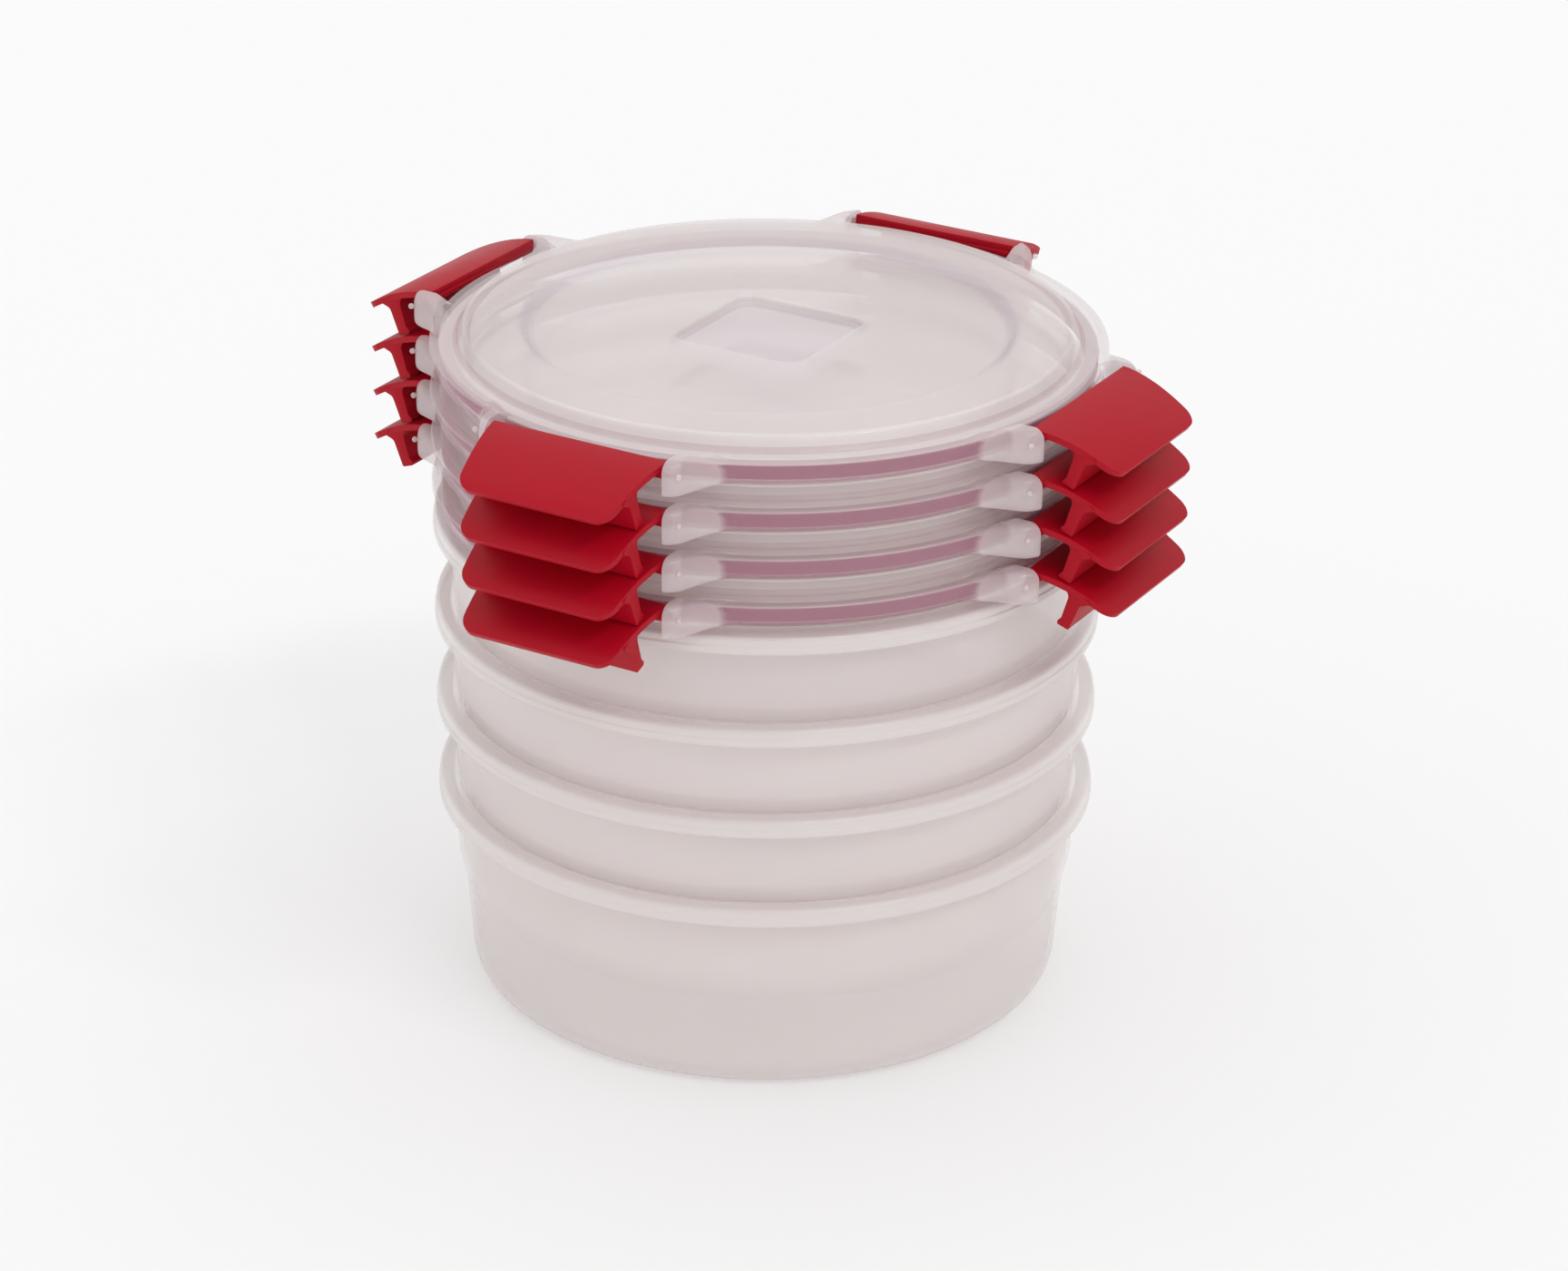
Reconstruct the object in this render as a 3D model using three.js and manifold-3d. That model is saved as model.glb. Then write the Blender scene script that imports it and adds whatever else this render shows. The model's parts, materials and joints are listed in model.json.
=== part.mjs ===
// A nested set of round food-storage tubs with their clip-on lids stacked on top.
//
// Four identical tubs sit one inside another, each hanging by its shoulder on the mouth of the tub
// below. Four identical lids stand on the top tub, each on the crown of the lid below. Every lid
// carries a soft sealing ring in the channel under its rim and four hinged snap latches.
//
// Units are millimetres and +Z is up. The origin is the centre of the bottom tub's base.
// The latches stand on the X and Y axes.

import * as THREE from 'three';
import { mergeVertices } from 'three/addons/utils/BufferGeometryUtils.js';
import Module from 'manifold-3d';

const wasm = await Module();
wasm.setup();

// ---- Driving dimensions ---------------------------------------------------------------------

const COUNT = 4; // tubs, and lids
const SIDES = 32; // flats round a turned piece
const GAP = 0.3; // clearance between pieces that rest on each other

// Rim shared by the tubs and the lids
const RIM_RADIUS = 90;

// Tub
const TUB_HEIGHT = 57.6;
const TUB_WALL = 1.3;
const FLANGE_WIDTH = 4.4; // from the wall's outside to the rim's edge
const BAND_HEIGHT = 4.8; // the short skirt that hangs from the rim's edge
const SHOULDER_DEPTH = 25.6; // from the rim's top face down to the shoulder's seat
const SHOULDER_STEP = 2; // how far the wall steps in at the shoulder
const SHOULDER_HEIGHT = 8; // over this height
const UPPER_TAPER = 0.6; // how far the wall draws in above the shoulder
const LOWER_TAPER = 2.1; // and below it
const FOOT_RADIUS = 7.8; // rounding between wall and base
const FOOT_RING_WIDTH = 4; // flat ring that the tub stands on
const BASE_RECESS = 0.6; // hollow under the base inside that ring
const RIM_ROUND = 1.2; // rounding of the rim's top edge

// Lid
const LID_WALL = 1.4;
const LEDGE_WIDTH = 7; // flat ring outside the crown
const SKIRT_HEIGHT = 5.5;
const SKIRT_TAPER = 1.1;
const CROWN_HEIGHT = 4.1; // raised ring above the ledge
const CROWN_TAPER = 2;
const CROWN_WIDTH = 15.3; // flat top of the raised ring
const RECESS_DEPTH = 2.2; // the middle of the lid below the crown
const RECESS_SLOPE = 2.3;
const PLUG_DEPTH = 8.5; // ring below the ledge that stands on the tub or the next lid
const PLUG_WALL = 1.6;
const PLUG_FOOT = 1; // thickness of the lip round the ring's foot
const PLUG_OVERLAP = 0.6; // how far that lip reaches over the tub's mouth
const POCKET_HALF = 19.6; // square pocket in the middle of the lid
const POCKET_CORNER = 5;
const POCKET_DEPTH = 3.4;

// Sealing ring
const SEAL_HEIGHT = 3.6;
const SEAL_WIDTH = 3.6;

// Hinge ears on the lid
const EAR_THICKNESS = 2.7;
const EAR_REACH = 5.8; // beyond the rim
const EAR_RISE = 2.4; // above the ledge
const EAR_DROP = 7.1; // below the ledge
const EAR_TOP_RADIUS = 3.2;
const EAR_FOOT_RADIUS = 1.5;
const FLARE_LENGTH = 11; // the rim swells into each ear over this length

// Latch
const LATCH_HALF_WIDTH = 25.8; // at the hinge
const LATCH_TIP_HALF_WIDTH = 22.1;
const LATCH_WALL = 1.7;
const LATCH_REACH = 25.3; // beyond the rim
const LATCH_RISE = 1.4; // the plate's inner edge above the ledge
const LATCH_DROP = 9; // how far the plate falls towards its tip
const LATCH_CURVE = 1.75; // power of that fall
const LATCH_CORNER = 4;
const LATCH_INSET = 1.8; // from the rim to the plate's inner edge
const HINGE_OFFSET = 3.2; // the pin's axis outside the rim
const HINGE_DEPTH = 1.2; // and below the ledge
const BARREL_RADIUS = 1.6;
const PIN_RADIUS = 0.9;
const PIN_LENGTH = 1.8;
const PIN_CLEARANCE = 0.3;
const PIN_SIDES = 8; // flats round the pin and its socket
const LEG_HALF_WIDTH = 23.4;
const LEG_ROOT_INNER = 14.2; // where the leg leaves the plate, beyond the rim
const LEG_ROOT_WIDTH = 4.6;
const LEG_FOOT_INNER = 9.9; // where it ends, beyond the rim
const LEG_FOOT_WIDTH = 3.2;
const LEG_CLEARANCE = 0.4; // above the plate of the latch below
const LEG_FILLET = 1.2; // where the leg's outside meets the plate

// ---- Sizes that follow ----------------------------------------------------------------------

const nestPitch = SHOULDER_DEPTH + GAP;
const lidPitch = CROWN_HEIGHT + GAP + PLUG_DEPTH;
const mouthRadius = RIM_RADIUS - FLANGE_WIDTH - TUB_WALL;
const topRimHeight = TUB_HEIGHT + (COUNT - 1) * nestPitch;
const firstLedgeHeight = topRimHeight + GAP + PLUG_DEPTH;
const crownRadius = RIM_RADIUS - LEDGE_WIDTH;
const crownTopRadius = crownRadius - CROWN_TAPER;
const recessRadius = crownTopRadius - CROWN_WIDTH;
const skirtInnerRadius = RIM_RADIUS - SKIRT_TAPER - LID_WALL;
const plugRadius = crownTopRadius - LID_WALL / 8;
const plugFootRadius = mouthRadius + PLUG_OVERLAP;
const earInnerFace = LATCH_HALF_WIDTH + GAP;
const earOuterFace = earInnerFace + EAR_THICKNESS;
const earEnd = RIM_RADIUS + EAR_REACH;

// ---- Helpers --------------------------------------------------------------------------------

// Turns a closed three.js geometry into a solid that can be joined and cut.
function solid(geometry) {
  const bare = geometry.index ? geometry.toNonIndexed() : geometry.clone();
  bare.deleteAttribute('normal');
  bare.deleteAttribute('uv');
  const merged = mergeVertices(bare, 1e-4);
  const corners = merged.index.array;
  const triangles = [];
  for (let i = 0; i < corners.length; i += 3) {
    const [a, b, c] = [corners[i], corners[i + 1], corners[i + 2]];
    if (a !== b && b !== c && c !== a) triangles.push(a, b, c);
  }
  return new wasm.Manifold(new wasm.Mesh({
    numProp: 3,
    vertProperties: new Float32Array(merged.attributes.position.array),
    triVerts: new Uint32Array(triangles),
  }));
}

// Turns a solid back into a geometry.
function geometryOf(body) {
  const mesh = body.getMesh();
  const geometry = new THREE.BufferGeometry();
  geometry.setAttribute('position', new THREE.BufferAttribute(mesh.vertProperties, 3));
  geometry.setIndex(new THREE.BufferAttribute(mesh.triVerts, 1));
  geometry.computeVertexNormals();
  return geometry;
}

// Turns a profile of [radius, height] points, listed anticlockwise, about the Z axis.
function turned(profile) {
  const points = profile.map(([radius, height]) => new THREE.Vector2(radius, height));
  return solid(new THREE.LatheGeometry(points, SIDES).rotateX(Math.PI / 2));
}

// Points of an arc round [x, y], from one angle to another in degrees, ends included.
function arc(x, y, radius, from, to, steps) {
  const points = [];
  for (let i = 0; i <= steps; i += 1) {
    const angle = THREE.MathUtils.degToRad(from + ((to - from) * i) / steps);
    points.push([x + radius * Math.cos(angle), y + radius * Math.sin(angle)]);
  }
  return points;
}

function outline(points) {
  return new THREE.Shape(points.map(([x, y]) => new THREE.Vector2(x, y)));
}

// A plan outline given thickness between two heights.
function slab(points, bottom, top) {
  const geometry = new THREE.ExtrudeGeometry(outline(points), { depth: top - bottom, bevelEnabled: false });
  return solid(geometry.translate(0, 0, bottom));
}

// A side outline, in [outward, up], given width along Y between two places.
function sideSlab(points, from, to) {
  const geometry = new THREE.ExtrudeGeometry(outline(points), { depth: to - from, bevelEnabled: false });
  return solid(geometry.rotateX(Math.PI / 2).translate(0, to, 0));
}

// A square with rounded corners, centred on the axis.
function roundedSquare(half, corner) {
  const centre = half - corner;
  return [0, 90, 180, 270].flatMap((turn) => {
    const angle = THREE.MathUtils.degToRad(turn + 45);
    const reach = centre * Math.SQRT2;
    return arc(reach * Math.cos(angle), reach * Math.sin(angle), corner, turn, turn + 90, 2);
  });
}

function material(name, color, roughness) {
  return new THREE.MeshStandardMaterial({ name, color, roughness, metalness: 0 });
}

const clearPlastic = material('frosted_clear_plastic', 0xd6cccb, 0.35);
const sealRubber = material('mauve_sealing_rubber', 0xa9788a, 0.6);
const redPlastic = material('red_plastic', 0xb3202f, 0.4);

// ---- Tub ------------------------------------------------------------------------------------

function makeTub() {
  const wallRadius = RIM_RADIUS - FLANGE_WIDTH;
  const shoulderRadius = wallRadius - UPPER_TAPER;
  const lowerRadius = shoulderRadius - SHOULDER_STEP;
  // The shoulder's cone passes the mouth of the tub below at a clearance of one gap.
  const steepness = SHOULDER_HEIGHT / SHOULDER_STEP;
  const seatRadius = mouthRadius - GAP * Math.hypot(1, 1 / steepness);
  const shoulderFoot = TUB_HEIGHT - nestPitch - (seatRadius - lowerRadius) * steepness;
  const footWallRadius = lowerRadius - LOWER_TAPER;
  const innerFoot = FOOT_RADIUS - TUB_WALL;
  return turned([
    [0, BASE_RECESS],
    [footWallRadius - FOOT_RADIUS - FOOT_RING_WIDTH, BASE_RECESS],
    [footWallRadius - FOOT_RADIUS - FOOT_RING_WIDTH, 0],
    ...arc(footWallRadius - FOOT_RADIUS, FOOT_RADIUS, FOOT_RADIUS, -90, 0, 2),
    [lowerRadius, shoulderFoot],
    [shoulderRadius, shoulderFoot + SHOULDER_HEIGHT],
    [wallRadius, TUB_HEIGHT - TUB_WALL],
    [RIM_RADIUS - TUB_WALL, TUB_HEIGHT - TUB_WALL],
    [RIM_RADIUS - TUB_WALL, TUB_HEIGHT - BAND_HEIGHT],
    [RIM_RADIUS, TUB_HEIGHT - BAND_HEIGHT],
    ...arc(RIM_RADIUS - RIM_ROUND, TUB_HEIGHT - RIM_ROUND, RIM_ROUND, 0, 90, 1),
    [mouthRadius, TUB_HEIGHT],
    [shoulderRadius - TUB_WALL, shoulderFoot + SHOULDER_HEIGHT],
    [lowerRadius - TUB_WALL, shoulderFoot],
    ...arc(footWallRadius - FOOT_RADIUS, FOOT_RADIUS + BASE_RECESS, innerFoot, 0, -90, 1),
    [0, BASE_RECESS + TUB_WALL],
  ]);
}

// ---- Lid ------------------------------------------------------------------------------------

// The turned part: recess, crown, ledge and skirt, with the channel and the plug ring below.
function lidDisc() {
  const recessFloor = CROWN_HEIGHT - RECESS_DEPTH;
  return turned([
    [0, recessFloor - LID_WALL],
    [recessRadius - RECESS_SLOPE, recessFloor - LID_WALL],
    [recessRadius, CROWN_HEIGHT - LID_WALL],
    [plugRadius - PLUG_WALL, CROWN_HEIGHT - LID_WALL],
    [plugRadius - PLUG_WALL, -PLUG_DEPTH],
    [plugFootRadius, -PLUG_DEPTH],
    [plugFootRadius, -PLUG_DEPTH + PLUG_FOOT],
    [plugRadius, -PLUG_DEPTH + 2 * PLUG_FOOT],
    [plugRadius, -LID_WALL],
    [skirtInnerRadius, -LID_WALL],
    [skirtInnerRadius, -SKIRT_HEIGHT],
    [RIM_RADIUS - SKIRT_TAPER, -SKIRT_HEIGHT],
    [RIM_RADIUS, -LID_WALL],
    [RIM_RADIUS - LID_WALL / 2, 0],
    [crownRadius, 0],
    [crownTopRadius, CROWN_HEIGHT],
    [recessRadius, CROWN_HEIGHT],
    [recessRadius - RECESS_SLOPE, recessFloor],
    [0, recessFloor],
  ]);
}

// The square pocket in the middle: what it adds below the lid, and what it cuts away.
function lidPocket() {
  const recessFloor = CROWN_HEIGHT - RECESS_DEPTH;
  const floor = recessFloor - POCKET_DEPTH;
  const shell = roundedSquare(POCKET_HALF + LID_WALL, POCKET_CORNER + LID_WALL);
  const hollow = roundedSquare(POCKET_HALF, POCKET_CORNER);
  return {
    shell: slab(shell, floor - LID_WALL, recessFloor - LID_WALL / 2),
    hollow: slab(hollow, floor, recessFloor + LID_WALL),
  };
}

// One hinge ear beyond the +X edge, with the blind socket that takes the latch's pin.
function lidEar() {
  const root = skirtInnerRadius - EAR_REACH;
  const profile = [
    [root, -EAR_DROP],
    ...arc(earEnd - EAR_FOOT_RADIUS, EAR_FOOT_RADIUS - EAR_DROP, EAR_FOOT_RADIUS, -90, 0, 1),
    ...arc(earEnd - EAR_TOP_RADIUS, EAR_RISE - EAR_TOP_RADIUS, EAR_TOP_RADIUS, 0, 90, 2),
    [RIM_RADIUS - LID_WALL, EAR_RISE],
    [root, -LID_WALL / 2],
  ];
  const socket = new THREE.CylinderGeometry(
    PIN_RADIUS + PIN_CLEARANCE,
    PIN_RADIUS + PIN_CLEARANCE,
    2 * (PIN_LENGTH + PIN_CLEARANCE),
    PIN_SIDES,
  ).rotateY(Math.PI / PIN_SIDES).translate(RIM_RADIUS + HINGE_OFFSET, earInnerFace - GAP, -HINGE_DEPTH);
  return sideSlab(profile, earInnerFace, earOuterFace).subtract(solid(socket));
}

// The concave swelling of the rim outside an ear.
function lidFlare() {
  const rimAt = (y) => Math.sqrt(RIM_RADIUS ** 2 - y ** 2);
  const endY = earOuterFace + FLARE_LENGTH;
  const steps = 3;
  const curve = [];
  for (let i = 0; i <= steps; i += 1) {
    const share = i / steps;
    const y = earOuterFace + FLARE_LENGTH * share;
    curve.push([rimAt(y) + (earEnd - EAR_TOP_RADIUS / 2 - rimAt(earOuterFace)) * (1 - share) ** 2, y]);
  }
  curve[steps][0] = rimAt(endY) - LID_WALL / 2;
  const inside = rimAt(endY) - LEDGE_WIDTH;
  return slab([[inside, earOuterFace], ...curve, [inside, endY]], -SKIRT_HEIGHT, 0);
}

function makeLid() {
  const pocket = lidPocket();
  const core = solid(new THREE.CylinderGeometry(
    RIM_RADIUS - SKIRT_TAPER - LID_WALL / 2,
    RIM_RADIUS - SKIRT_TAPER - LID_WALL / 2,
    4 * PLUG_DEPTH,
    SIDES,
  ).rotateX(Math.PI / 2));
  const oneEar = lidEar().add(lidFlare());
  const pair = oneEar.add(oneEar.mirror([0, 1, 0])).subtract(core);
  let lid = lidDisc().add(pocket.shell).subtract(pocket.hollow);
  for (const turn of [0, 90, 180, 270]) {
    lid = lid.add(pair.rotate([0, 0, turn]));
  }
  return lid;
}

// ---- Sealing ring ---------------------------------------------------------------------------

function makeSeal() {
  const outer = skirtInnerRadius - GAP;
  const inner = outer - SEAL_WIDTH;
  const top = -LID_WALL - GAP;
  const bottom = top - SEAL_HEIGHT;
  const chamfer = (outer - inner) / 4;
  return turned([
    [inner, bottom + chamfer],
    [inner + chamfer, bottom],
    [outer - chamfer, bottom],
    [outer, bottom + chamfer],
    [outer, top],
    [inner, top],
    [inner, bottom + chamfer],
  ]);
}

// ---- Latch ----------------------------------------------------------------------------------

// Height of the plate's top face above the ledge, at a place beyond the rim.
function plateTop(beyond) {
  const share = (beyond - LATCH_INSET) / (LATCH_REACH - LATCH_INSET);
  return LATCH_RISE - LATCH_DROP * share ** LATCH_CURVE;
}

// The curved finger plate, drawn from its side and trimmed to its plan.
function latchPlate() {
  const steps = 4;
  const top = [];
  for (let i = 0; i <= steps; i += 1) {
    const beyond = LATCH_INSET + ((LATCH_REACH - LATCH_INSET) * i) / steps;
    top.push([beyond, plateTop(beyond)]);
  }
  const underside = top.slice().reverse().map(([x, z]) => [x, z - LATCH_WALL]);
  const innerEdge = LATCH_WALL / 2;
  top[0] = [LATCH_INSET + innerEdge, LATCH_RISE];
  const side = [[LATCH_INSET, LATCH_RISE - innerEdge], ...underside.reverse(), ...top.reverse()];
  const plan = [
    [LATCH_INSET, -LATCH_HALF_WIDTH],
    ...arc(LATCH_REACH - LATCH_CORNER, LATCH_CORNER - LATCH_TIP_HALF_WIDTH, LATCH_CORNER, -80, 0, 2),
    ...arc(LATCH_REACH - LATCH_CORNER, LATCH_TIP_HALF_WIDTH - LATCH_CORNER, LATCH_CORNER, 0, 80, 2),
    [LATCH_INSET, LATCH_HALF_WIDTH],
  ];
  const depth = LATCH_RISE + LATCH_DROP + LATCH_WALL;
  return sideSlab(side, -LATCH_HALF_WIDTH, LATCH_HALF_WIDTH).intersect(slab(plan, -depth, depth));
}

// The snap leg, which ends just above the plate of the latch below it.
function latchLeg() {
  const footOuter = LEG_FOOT_INNER + LEG_FOOT_WIDTH;
  const rootOuter = LEG_ROOT_INNER + LEG_ROOT_WIDTH;
  const above = LEG_CLEARANCE - lidPitch;
  const side = [
    [LEG_FOOT_INNER, plateTop(LEG_FOOT_INNER) + above],
    [footOuter, plateTop(footOuter) + above],
    [rootOuter - LEG_FILLET, plateTop(rootOuter) - LATCH_WALL - LEG_FILLET],
    [rootOuter, plateTop(rootOuter) - LATCH_WALL / 2],
    [LEG_ROOT_INNER, plateTop(LEG_ROOT_INNER) - LATCH_WALL / 2],
  ];
  return sideSlab(side, -LEG_HALF_WIDTH, LEG_HALF_WIDTH);
}

function latchHinge() {
  const rod = (radius, halfLength) => solid(
    new THREE.CylinderGeometry(radius, radius, 2 * halfLength, PIN_SIDES)
      .rotateY(Math.PI / PIN_SIDES)
      .translate(HINGE_OFFSET, 0, -HINGE_DEPTH),
  );
  return rod(BARREL_RADIUS, LATCH_HALF_WIDTH).add(rod(PIN_RADIUS, LATCH_HALF_WIDTH + PIN_LENGTH));
}

// Moved so that the pin's axis is the origin.
function makeLatch() {
  return latchPlate().add(latchLeg()).add(latchHinge()).translate([-HINGE_OFFSET, 0, HINGE_DEPTH]);
}

// ---- Assembly -------------------------------------------------------------------------------

function place(parent, name, geometry, look, x, z) {
  const mesh = new THREE.Mesh(geometry, look.clone());
  mesh.name = name;
  mesh.position.set(x, 0, z);
  parent.add(mesh);
}

const storageSet = new THREE.Group();
const tubGeometry = geometryOf(makeTub());
const lidGeometry = geometryOf(makeLid());
const sealGeometry = geometryOf(makeSeal());
const latchGeometry = geometryOf(makeLatch());
const latchTurns = { right: 0, back: 90, left: 180, front: 270 };

for (let i = 0; i < COUNT; i += 1) {
  place(storageSet, `tub_${i + 1}`, tubGeometry, clearPlastic, 0, i * nestPitch);
}

for (let i = 0; i < COUNT; i += 1) {
  const ledge = firstLedgeHeight + i * lidPitch;
  place(storageSet, `lid_${i + 1}`, lidGeometry, clearPlastic, 0, ledge);
  place(storageSet, `seal_${i + 1}`, sealGeometry, sealRubber, 0, ledge);
  for (const [side, turn] of Object.entries(latchTurns)) {
    const corner = new THREE.Group();
    corner.rotation.z = THREE.MathUtils.degToRad(turn);
    const name = `latch_${side}_${i + 1}`;
    place(corner, name, latchGeometry, redPlastic, RIM_RADIUS + HINGE_OFFSET, ledge - HINGE_DEPTH);
    storageSet.add(corner);
  }
}

export default storageSet;
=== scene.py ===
"""Nested round food-storage tubs with their clip-on lids stacked on top."""

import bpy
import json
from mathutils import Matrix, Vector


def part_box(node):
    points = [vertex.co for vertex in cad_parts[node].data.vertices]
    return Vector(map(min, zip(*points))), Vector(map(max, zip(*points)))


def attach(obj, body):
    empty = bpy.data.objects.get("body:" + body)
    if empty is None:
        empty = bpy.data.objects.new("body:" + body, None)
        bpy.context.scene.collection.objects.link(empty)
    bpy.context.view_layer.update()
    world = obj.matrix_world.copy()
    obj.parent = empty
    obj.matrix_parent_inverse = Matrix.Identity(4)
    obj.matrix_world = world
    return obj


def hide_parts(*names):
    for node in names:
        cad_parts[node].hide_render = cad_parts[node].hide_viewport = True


bl_info = {
    "name": "Nested Storage Tubs",
    "version": (1, 0, 0),
    "blender": (4, 5, 0),
    "location": "View3D > Sidebar > Storage Tubs",
    "description": "Models tubs, lids, sealing rings and snap latches round a jointed frame",
    "category": "Add Mesh",
}

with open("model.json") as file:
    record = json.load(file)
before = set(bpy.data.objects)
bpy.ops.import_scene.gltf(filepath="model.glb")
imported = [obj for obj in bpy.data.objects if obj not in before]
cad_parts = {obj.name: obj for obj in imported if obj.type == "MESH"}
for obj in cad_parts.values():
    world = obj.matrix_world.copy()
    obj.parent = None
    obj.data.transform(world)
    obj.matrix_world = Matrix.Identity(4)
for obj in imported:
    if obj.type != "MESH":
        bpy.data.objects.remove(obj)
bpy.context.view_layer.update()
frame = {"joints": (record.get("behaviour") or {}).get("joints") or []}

import json
import math

import bpy
from bpy.props import FloatProperty, FloatVectorProperty, IntProperty, PointerProperty
from mathutils import Matrix, Vector

MM = 0.001
COUNT = 4
SIDES = {"right": 0, "back": 90, "left": 180, "front": 270}


# ---- Sizes taken from the frame ----------------------------------------------------------------

TUB_LOW, TUB_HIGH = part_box("tub_1")
LID_LOW, LID_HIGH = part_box("lid_1")
PIN_AT = Vector(next(j for j in frame["joints"] if j["name"] == "latch_right_1_hinge")["pos_m"])
RIM_RADIUS = TUB_HIGH.x
TUB_HEIGHT = TUB_HIGH.z
NEST_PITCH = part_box("tub_2")[0].z - TUB_LOW.z
LID_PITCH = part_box("lid_2")[0].z - LID_LOW.z
EAR_END = LID_HIGH.x
LATCH_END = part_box("latch_right_1")[1].x
LATCH_HALF_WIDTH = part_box("latch_right_1")[1].y
LID_BELOW = 8 * MM  # how much of a lid below its ledge is told apart from the lid under it


def length(name, description, millimetres):
    """A length property in metres, with its default given in millimetres."""
    return FloatProperty(name=name, description=description, default=millimetres * MM,
                         min=0.0, unit="LENGTH", precision=5)


def colour(name, description, *default):
    """A linear colour property."""
    return FloatVectorProperty(name=name, description=description, default=default,
                               size=len(default), min=0.0, max=1.0, subtype="COLOR")


class TubSettings(bpy.types.PropertyGroup):
    """Sizes of a tub that its box doesn't give."""

    wall: length("Wall", "Thickness of wall, flange and base", 1.3)
    flange: length("Flange", "From the wall's outside to the rim's edge", 4.4)
    band: length("Band", "Height of the skirt that hangs from the rim's edge", 4.8)
    band_step: length("Band Step", "How far the upper half of that skirt stands back", 0.3)
    step: length("Shoulder Step", "How far the wall steps in at the shoulder", 2)
    shoulder: length("Shoulder Height", "Height over which it steps in", 8)
    upper_taper: length("Upper Taper", "How far the wall draws in above the shoulder", 0.6)
    lower_taper: length("Lower Taper", "How far the wall draws in below the shoulder", 2.1)
    foot_radius: length("Foot Radius", "Rounding between wall and base", 7.8)
    foot_ring: length("Foot Ring", "Width of the flat ring under the base", 4)
    recess: length("Recess", "Depth of the hollow inside the foot ring", 0.6)
    gap: length("Gap", "Clearance between nested pieces", 0.3)
    turns: IntProperty(name="Facets", description="Flats round a turned piece", default=192, min=32)


class LidSettings(bpy.types.PropertyGroup):
    """Sizes of a lid that its box doesn't give."""

    wall: length("Wall", "Thickness of the moulding", 1.4)
    ledge: length("Ledge", "Width of the flat ring outside the crown", 7)
    skirt: length("Skirt", "Depth of the skirt below the ledge", 5.5)
    skirt_taper: length("Skirt Taper", "How far the skirt draws in", 1.1)
    crown: length("Crown Height", "Height of the raised ring above the ledge", 4.1)
    crown_taper: length("Crown Taper", "How far the crown's outside leans in", 2)
    crown_width: length("Crown Width", "Width of the crown's flat top", 15.3)
    recess: length("Recess", "Depth of the middle below the crown", 2.2)
    recess_slope: length("Recess Slope", "Width of the slope down to the middle", 2.3)
    plug: length("Plug", "Depth of the plug ring below the ledge", 8.5)
    plug_wall: length("Plug Wall", "Thickness of the plug ring", 1.6)
    plug_foot: length("Plug Foot", "Thickness of the lip round the plug's foot", 1)
    overlap: length("Overlap", "How far that lip reaches over the tub's mouth", 0.6)
    pocket: length("Pocket", "Half the side of the square pocket", 19.6)
    pocket_corner: length("Pocket Corner", "Corner radius of the pocket", 5)
    pocket_depth: length("Pocket Depth", "Depth of the pocket", 3.4)
    ear: length("Ear Thickness", "Thickness of a hinge ear", 2.7)
    ear_rise: length("Ear Rise", "Height of an ear above the ledge", 2.4)
    ear_drop: length("Ear Drop", "Depth of an ear below the ledge", 7.1)
    ear_top_radius: length("Ear Top Radius", "Rounding of an ear's upper corner", 3.2)
    ear_foot_radius: length("Ear Foot Radius", "Rounding of an ear's lower corner", 1.5)
    flare: length("Flare", "Length of the swelling outside an ear", 11)
    turns: IntProperty(name="Facets", description="Flats round a turned piece", default=192, min=32)


class SealSettings(bpy.types.PropertyGroup):
    """Sizes of the sealing ring."""

    height: length("Height", "Height of the ring", 3.85)
    width: length("Width", "Width of the ring", 3.6)
    lip: length("Lip", "Depth of the groove between its two lips", 0.8)


class LatchSettings(bpy.types.PropertyGroup):
    """Sizes of a snap latch that its box doesn't give."""

    wall: length("Wall", "Thickness of the finger plate", 1.7)
    tip_half_width: length("Tip Half Width", "Half the plate's width at its tip", 22.1)
    side_gap: length("Side Gap", "From the plate to an ear", 0.3)
    inset: length("Inset", "From the rim to the plate's inner edge", 1.8)
    rise: length("Rise", "Height of the plate's inner edge above the ledge", 1.4)
    drop: length("Drop", "How far the plate falls towards its tip", 9)
    curve: FloatProperty(name="Curve", description="Power of the plate's fall", default=1.75)
    corner: length("Corner", "Corner radius of the plate", 4)
    barrel: length("Barrel", "Radius of the hinge barrel", 1.6)
    pin: length("Pin", "Radius of the hinge pins", 0.9)
    pin_length: length("Pin Length", "Length of each pin beyond the plate", 1.8)
    leg_half_width: length("Leg Half Width", "Half the width of the snap leg", 23.4)
    leg_root: length("Leg Root", "From the rim to the leg's root", 12.9)
    leg_root_width: length("Leg Root Width", "Thickness of the leg at its root", 4.6)
    leg_foot: length("Leg Foot", "From the rim to the leg's foot", 9.9)
    leg_foot_width: length("Leg Foot Width", "Thickness of the leg at its foot", 3.2)
    clearance: length("Clearance", "From the leg's foot to the plate below", 0.4)


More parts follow.
